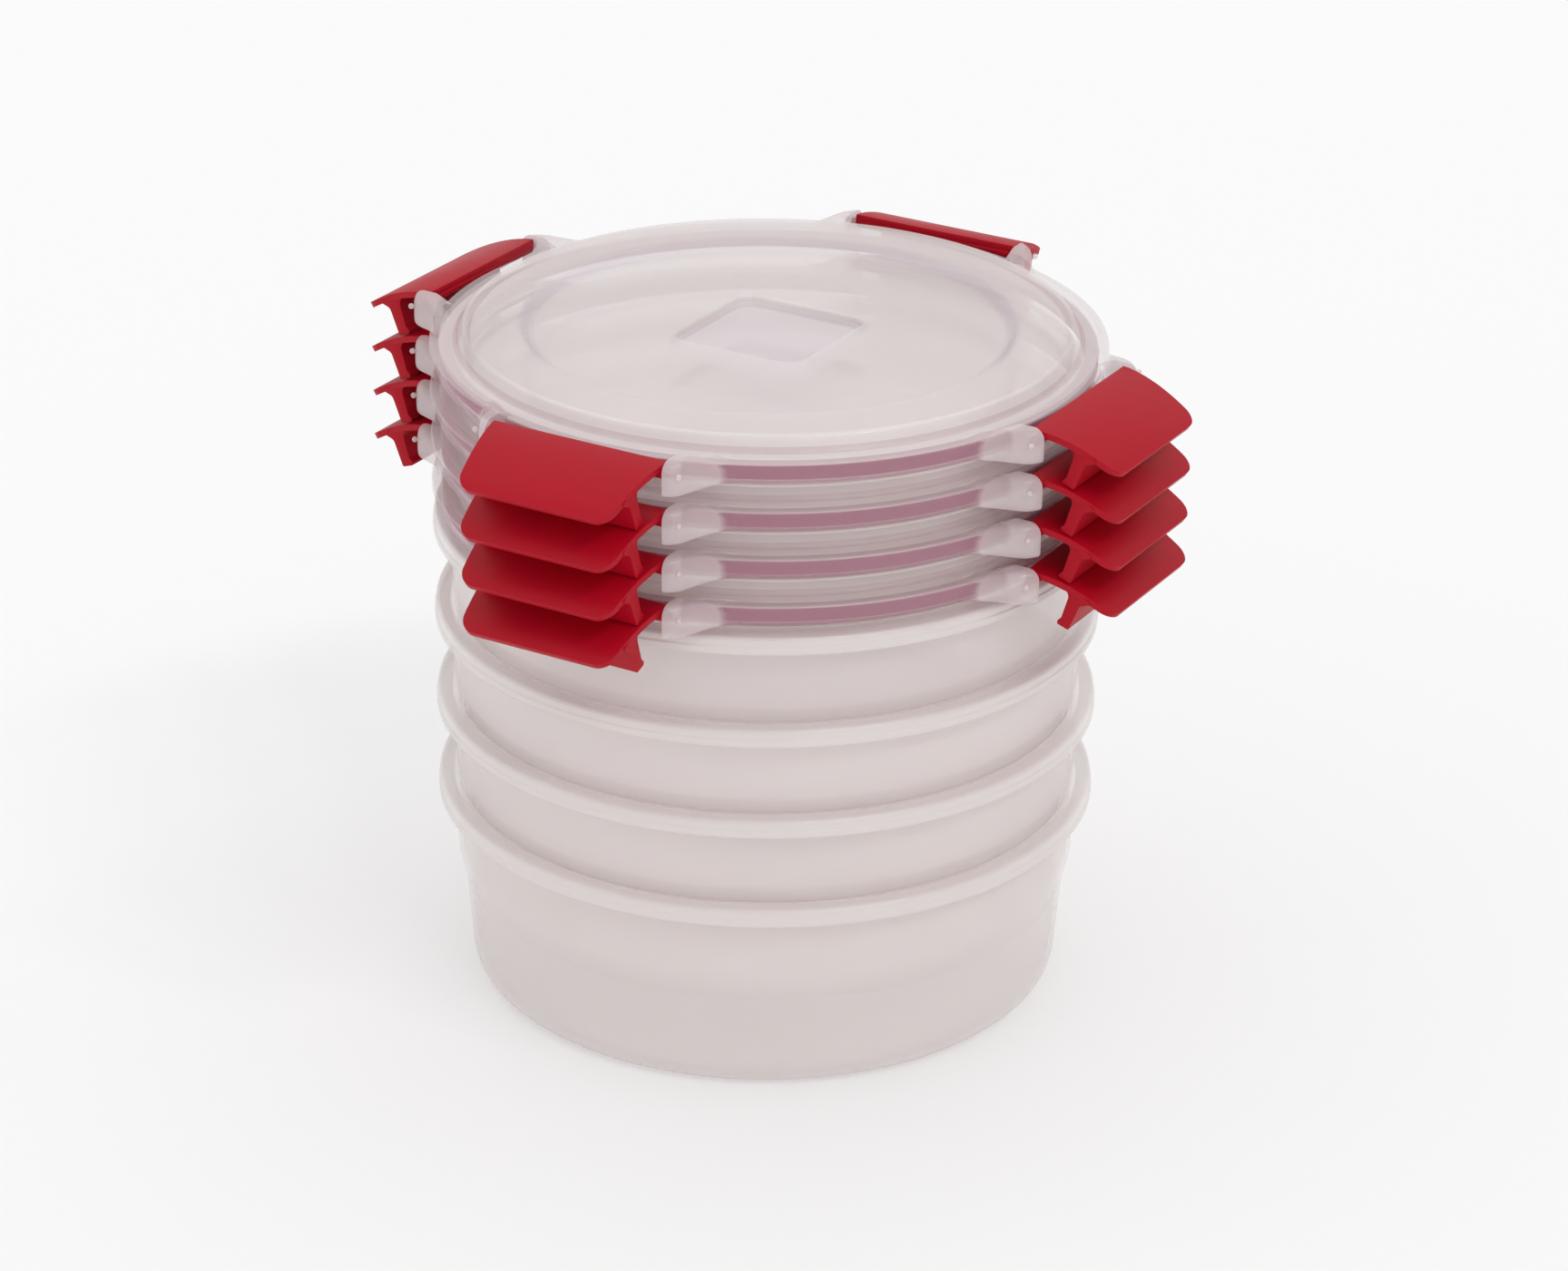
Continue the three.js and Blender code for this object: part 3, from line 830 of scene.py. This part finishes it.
class TUBS_OT_lids(bpy.types.Operator):
    """Model one lid with its pocket and hinge ears, and stack four copies"""

    bl_idname = "storage.lids"
    bl_label = "Lids"

    def execute(self, context):
        scene = context.scene
        lid, tub, latch = scene.storage_lid, scene.storage_tub, scene.storage_latch
        look = lid_plastic(lid, scene.storage_finish)
        first = turn("lid_body", lid_corners(lid, tub), lid.turns)
        sink_pocket(first, lid)
        inner_face = LATCH_HALF_WIDTH - latch.pin_length + latch.side_gap
        ear = ear_and_flare(lid, inner_face)
        core = cylinder("core", RIM_RADIUS - lid.skirt_taper - lid.wall / 2, -30 * MM, -lid.wall * 0.7)
        combine(ear, core, "DIFFERENCE")
        combine(ear, pin_socket(lid, latch, inner_face), "DIFFERENCE")
        mirror = Matrix.Scale(-1, 4, (0, 1, 0))
        for angle in SIDES.values():
            for side in (Matrix.Identity(4), mirror):
                tool = copy_of(ear, "ear_tool", turned_by(angle) @ side)
                if side is mirror:
                    tool.data.flip_normals()
                combine(first, tool, "UNION")
        bpy.data.objects.remove(ear)
        smooth(first, 32)
        flatten(first)
        for number in range(1, COUNT + 1):
            lift = Matrix.Translation((0, 0, lid_ledge(number)))
            piece = copy_of(first, f"lid_{number}_moulding", lift)
            hand_over(piece, f"lid_{number}", f"lid_{number}", look)
        bpy.data.objects.remove(first)
        return {"FINISHED"}


# ---- Sealing ring ------------------------------------------------------------------------------


def seal_corners(lid, tub, seal):
    """The ring's section, with the ledge at height zero: flat on top, two lips below."""
    outer = RIM_RADIUS - lid.skirt_taper - lid.wall - tub.gap
    inner = outer - seal.width
    top = -lid.wall - tub.gap / 2
    bottom = top - seal.height
    lip = seal.width / 3
    fine = 0.35 * MM
    return [
        (inner, bottom, fine),
        (inner + lip, bottom, fine),
        ((inner + outer) / 2, bottom + seal.lip, fine),
        (outer - lip, bottom, fine),
        (outer, bottom, fine),
        (outer, top, fine),
        (inner, top, fine),
    ]


class TUBS_OT_seals(bpy.types.Operator):
    """Model one sealing ring and fit a copy under each lid's rim"""

    bl_idname = "storage.seals"
    bl_label = "Sealing Rings"

    def execute(self, context):
        scene = context.scene
        look = seal_rubber("mauve_seal_rubber", scene.storage_finish.seal)
        corners = seal_corners(scene.storage_lid, scene.storage_tub, scene.storage_seal)
        first = turn("seal_body", corners, scene.storage_lid.turns, closed=True, steps=3)
        smooth(first)
        for number in range(1, COUNT + 1):
            lift = Matrix.Translation((0, 0, lid_ledge(number)))
            piece = copy_of(first, f"seal_{number}_ring", lift)
            hand_over(piece, f"lid_{number}", f"seal_{number}", look)
        bpy.data.objects.remove(first)
        return {"FINISHED"}


# ---- Latch -------------------------------------------------------------------------------------


def plate_top(latch, beyond):
    """Height of the plate's top above the ledge, at a distance beyond the rim."""
    reach = LATCH_END - RIM_RADIUS
    share = max(0.0, (beyond - latch.inset) / (reach - latch.inset))
    return latch.rise - latch.drop * share**latch.curve


def latch_plate(latch, half_width):
    """The curved finger plate: a plan shape, sliced across, sagged to its curve and thickened."""
    reach = LATCH_END - RIM_RADIUS
    deselect()
    long = reach - latch.inset
    bpy.ops.mesh.primitive_plane_add(size=1, location=(latch.inset + long / 2, 0, 0))
    plate = bpy.context.object
    plate.name = "plate"
    plate.scale = (long, 2 * half_width, 1)
    bpy.ops.object.transform_apply(location=True, scale=True)
    tip = lambda co: co.x > latch.inset + long / 2
    select_vertices(plate, tip)
    bpy.ops.transform.resize(value=(1, latch.tip_half_width / half_width, 1))
    bpy.ops.mesh.bevel(offset=latch.corner, segments=8, affect="VERTICES", offset_type="OFFSET")
    slices = 28
    for cut in range(1, slices):
        bpy.ops.mesh.select_all(action="SELECT")
        at = latch.inset + long * cut / slices
        bpy.ops.mesh.bisect(plane_co=(at, 0, 0), plane_no=(1, 0, 0))
    bpy.ops.object.mode_set(mode="OBJECT")
    for vertex in plate.data.vertices:
        vertex.co.z = plate_top(latch, vertex.co.x)
    solidify = plate.modifiers.new("Thickness", "SOLIDIFY")
    solidify.thickness = latch.wall
    solidify.offset = -1
    bpy.ops.object.modifier_apply(modifier=solidify.name)
    return plate


def latch_leg(latch):
    """The snap leg from its side, with a hooked foot and a flared root, extruded across."""
    root, root_outer = latch.leg_root, latch.leg_root + latch.leg_root_width
    foot, foot_outer = latch.leg_foot, latch.leg_foot + latch.leg_foot_width
    above = latch.clearance - LID_PITCH
    hook = 0.9 * MM
    sunk = 0.5 * latch.wall
    corners = [
        (foot, plate_top(latch, foot) + above, 0.3 * MM),
        (foot_outer, plate_top(latch, foot_outer) + above, 0.5 * MM),
        (root_outer - 1.4 * MM, plate_top(latch, root_outer) - latch.wall - 1.5 * MM, 1.8 * MM),
        (root_outer + 1.2 * MM, plate_top(latch, root_outer + 1.2 * MM) - latch.wall, 0),
        (root_outer + 1.2 * MM, plate_top(latch, root_outer + 1.2 * MM) - sunk, 0),
        (root - 0.8 * MM, plate_top(latch, root - 0.8 * MM) - sunk, 0),
        (root - 0.8 * MM, plate_top(latch, root - 0.8 * MM) - latch.wall, 0),
        (root, plate_top(latch, root) - latch.wall - 1.5 * MM, 1.8 * MM),
        (foot + 1.1 * MM, plate_top(latch, foot) + above + 2.2 * hook, 0.8 * MM),
        (foot, plate_top(latch, foot) + above + hook, 0.3 * MM),
    ]
    return prism("leg", corners, -latch.leg_half_width, latch.leg_half_width)


def rod(name, radius, half_length):
    """A round rod along the hinge's axis."""
    deselect()
    bpy.ops.mesh.primitive_cylinder_add(vertices=32, radius=radius, depth=2 * half_length,
                                        rotation=(math.pi / 2, 0, 0),
                                        location=(PIN_AT.x - RIM_RADIUS, 0, PIN_AT.z - lid_ledge(1)))
    piece = bpy.context.object
    piece.name = name
    bpy.ops.object.transform_apply(location=True, rotation=True)
    return piece


class TUBS_OT_latches(bpy.types.Operator):
    """Model one snap latch and hang sixteen copies on the lids"""

    bl_idname = "storage.latches"
    bl_label = "Snap Latches"

    def execute(self, context):
        latch = context.scene.storage_latch
        look = red_plastic("red_latch_plastic", context.scene.storage_finish.red)
        half_width = LATCH_HALF_WIDTH - latch.pin_length
        first = latch_plate(latch, half_width)
        combine(first, latch_leg(latch), "UNION")
        combine(first, rod("barrel", latch.barrel, half_width - 0.2 * MM), "UNION")
        soften(first, 0.35 * MM, 3)
        combine(first, rod("pins", latch.pin, LATCH_HALF_WIDTH - 0.02 * MM), "UNION")
        smooth(first, 30)
        for number in range(1, COUNT + 1):
            for side, angle in SIDES.items():
                node = f"latch_{side}_{number}"
                place = turned_by(angle) @ Matrix.Translation((RIM_RADIUS, 0, lid_ledge(number)))
                piece = copy_of(first, f"{node}_clip", place)
                hand_over(piece, node, node, look)
        bpy.data.objects.remove(first)
        return {"FINISHED"}


# ---- Stage -------------------------------------------------------------------------------------


# Lamps: [turn, height, strength, spread], in degrees. The strip lamps stand in a row on the right and
# draw light lines along the rims.
LAMPS = {
    "top_light": (200, 70, 0.5, 70),
    "front_light": (10, 35, 0.1, 70),
    "left_light": (300, 30, 0.2, 70),
    **{f"strip_light_{step + 1}": (50 + 12 * step, 48, 0.13, 6) for step in range(4)},
}
FLOOR_SIZE = 12
FLOOR_DROP = 0.2 * MM
FLOOR_SHADOW = 0.7
BACKDROP_LIT = 0.7
BACKDROP_SEEN = 0.945
BOUNCES = {"transparent_max_bounces": 32, "max_bounces": 24, "diffuse_bounces": 16}


class StageSettings(bpy.types.PropertyGroup):
    """The camera's place and lens."""

    azimuth: FloatProperty(name="Azimuth", description="Camera's turn about the object",
                           default=math.radians(30.28), subtype="ANGLE")
    elevation: FloatProperty(name="Elevation", description="Camera's height above the object",
                             default=math.radians(24.66), subtype="ANGLE")
    roll: FloatProperty(name="Roll", description="Camera's tilt", default=math.radians(0.61), subtype="ANGLE")
    distance: FloatProperty(name="Distance", description="From the camera to the top lid's ledge",
                            default=1.1975, unit="LENGTH")
    lens: FloatProperty(name="Lens", description="Focal length", default=103.8, subtype="DISTANCE_CAMERA")
    aside: length("Aside", "Camera's step to its right", 4.78)
    down: length("Down", "Camera's step downwards", 79.76)


def aim_camera(stage):
    """A camera on a sphere round the top lid's ledge, stepped aside and down in its own plane."""
    azimuth, elevation = stage.azimuth, stage.elevation
    back = Vector((math.sin(azimuth) * math.cos(elevation),
                   -math.cos(azimuth) * math.cos(elevation), math.sin(elevation)))
    right = Vector((math.cos(azimuth), math.sin(azimuth), 0))
    up = back.cross(right)
    target = Vector((0, 0, lid_ledge(COUNT)))
    data = bpy.data.cameras.new("camera")
    data.lens = stage.lens
    data.sensor_width = 36
    data.clip_start = 0.01
    camera = bpy.data.objects.new("camera", data)
    bpy.context.scene.collection.objects.link(camera)
    camera_right = right * math.cos(stage.roll) + up * math.sin(stage.roll)
    camera_up = up * math.cos(stage.roll) - right * math.sin(stage.roll)
    turned = Matrix((camera_right, camera_up, back)).transposed()
    camera.matrix_world = turned.to_4x4()
    camera.location = target + back * stage.distance + right * stage.aside - up * stage.down
    bpy.context.scene.camera = camera


def soft_sun(name, azimuth, elevation, strength, spread):
    """A distant lamp from a direction in degrees. It lights the whole floor evenly."""
    data = bpy.data.lights.new(name, "SUN")
    data.energy = strength
    data.angle = math.radians(spread)
    lamp = bpy.data.objects.new(name, data)
    turn, lift = math.radians(azimuth), math.radians(elevation)
    towards = Vector((math.sin(turn) * math.cos(lift), -math.cos(turn) * math.cos(lift), math.sin(lift)))
    lamp.rotation_euler = towards.to_track_quat("Z", "Y").to_euler()
    bpy.context.scene.collection.objects.link(lamp)


def paint_world(lit, seen):
    """A plain pale surround: one strength lights the object, and another is what is seen behind it."""
    world = bpy.data.worlds.new("studio")
    bpy.context.scene.world = world
    world.use_nodes = True
    nodes, links = world.node_tree.nodes, world.node_tree.links
    nodes.clear()
    rays = nodes.new("ShaderNodeLightPath")
    seen_rays = nodes.new("ShaderNodeMath")
    seen_rays.operation = "MAXIMUM"
    links.new(rays.outputs["Is Camera Ray"], seen_rays.inputs[0])
    links.new(rays.outputs["Is Transmission Ray"], seen_rays.inputs[1])
    strength = nodes.new("ShaderNodeMix")
    strength.inputs[2].default_value = lit
    strength.inputs[3].default_value = seen
    links.new(seen_rays.outputs[0], strength.inputs[0])
    background = nodes.new("ShaderNodeBackground")
    background.inputs["Color"].default_value = (1, 1, 1, 1)
    links.new(strength.outputs[0], background.inputs["Strength"])
    output = nodes.new("ShaderNodeOutputWorld")
    links.new(background.outputs[0], output.inputs["Surface"])


class TUBS_OT_stage(bpy.types.Operator):
    """Lay the pale floor, hang the soft lamps and aim the camera"""

    bl_idname = "storage.stage"
    bl_label = "Stage"

    def execute(self, context):
        scene = context.scene
        scene.view_settings.view_transform = "Standard"
        for limit, bounces in BOUNCES.items():  # the clear walls stand many deep
            setattr(scene.cycles, limit, bounces)
        deselect()
        bpy.ops.mesh.primitive_plane_add(size=FLOOR_SIZE, location=(0, 0, -FLOOR_DROP))
        floor = context.object
        floor.name = "floor"
        floor.data.materials.append(stage_paint("floor_paint", scene.storage_finish.floor, FLOOR_SHADOW))
        aim_camera(scene.storage_stage)
        paint_world(BACKDROP_LIT, BACKDROP_SEEN)
        for name, lamp in LAMPS.items():
            soft_sun(name, *lamp)
        return {"FINISHED"}


# ---- Panel and registration --------------------------------------------------------------------


class TUBS_PT_panel(bpy.types.Panel):
    """Lists the steps in the order they are made"""

    bl_idname = "TUBS_PT_panel"
    bl_label = "Storage Tubs"
    bl_space_type = "VIEW_3D"
    bl_region_type = "UI"
    bl_category = "Storage Tubs"

    def draw(self, context):
        for operator in OPERATORS:
            self.layout.operator(operator.bl_idname)


SETTINGS = {
    "storage_tub": TubSettings,
    "storage_lid": LidSettings,
    "storage_seal": SealSettings,
    "storage_latch": LatchSettings,
    "storage_finish": FinishSettings,
    "storage_stage": StageSettings,
}
OPERATORS = (TUBS_OT_stage, TUBS_OT_tubs, TUBS_OT_lids, TUBS_OT_seals, TUBS_OT_latches)


def register():
    for cls in (*SETTINGS.values(), *OPERATORS, TUBS_PT_panel):
        bpy.utils.register_class(cls)
    for name, cls in SETTINGS.items():
        setattr(bpy.types.Scene, name, PointerProperty(type=cls))


def unregister():
    for name in SETTINGS:
        delattr(bpy.types.Scene, name)
    for cls in reversed((*SETTINGS.values(), *OPERATORS, TUBS_PT_panel)):
        bpy.utils.unregister_class(cls)


def main():
    register()
    bpy.ops.storage.stage()
    bpy.ops.storage.tubs()
    bpy.ops.storage.lids()
    bpy.ops.storage.seals()
    bpy.ops.storage.latches()


if __name__ == "__main__":
    main()
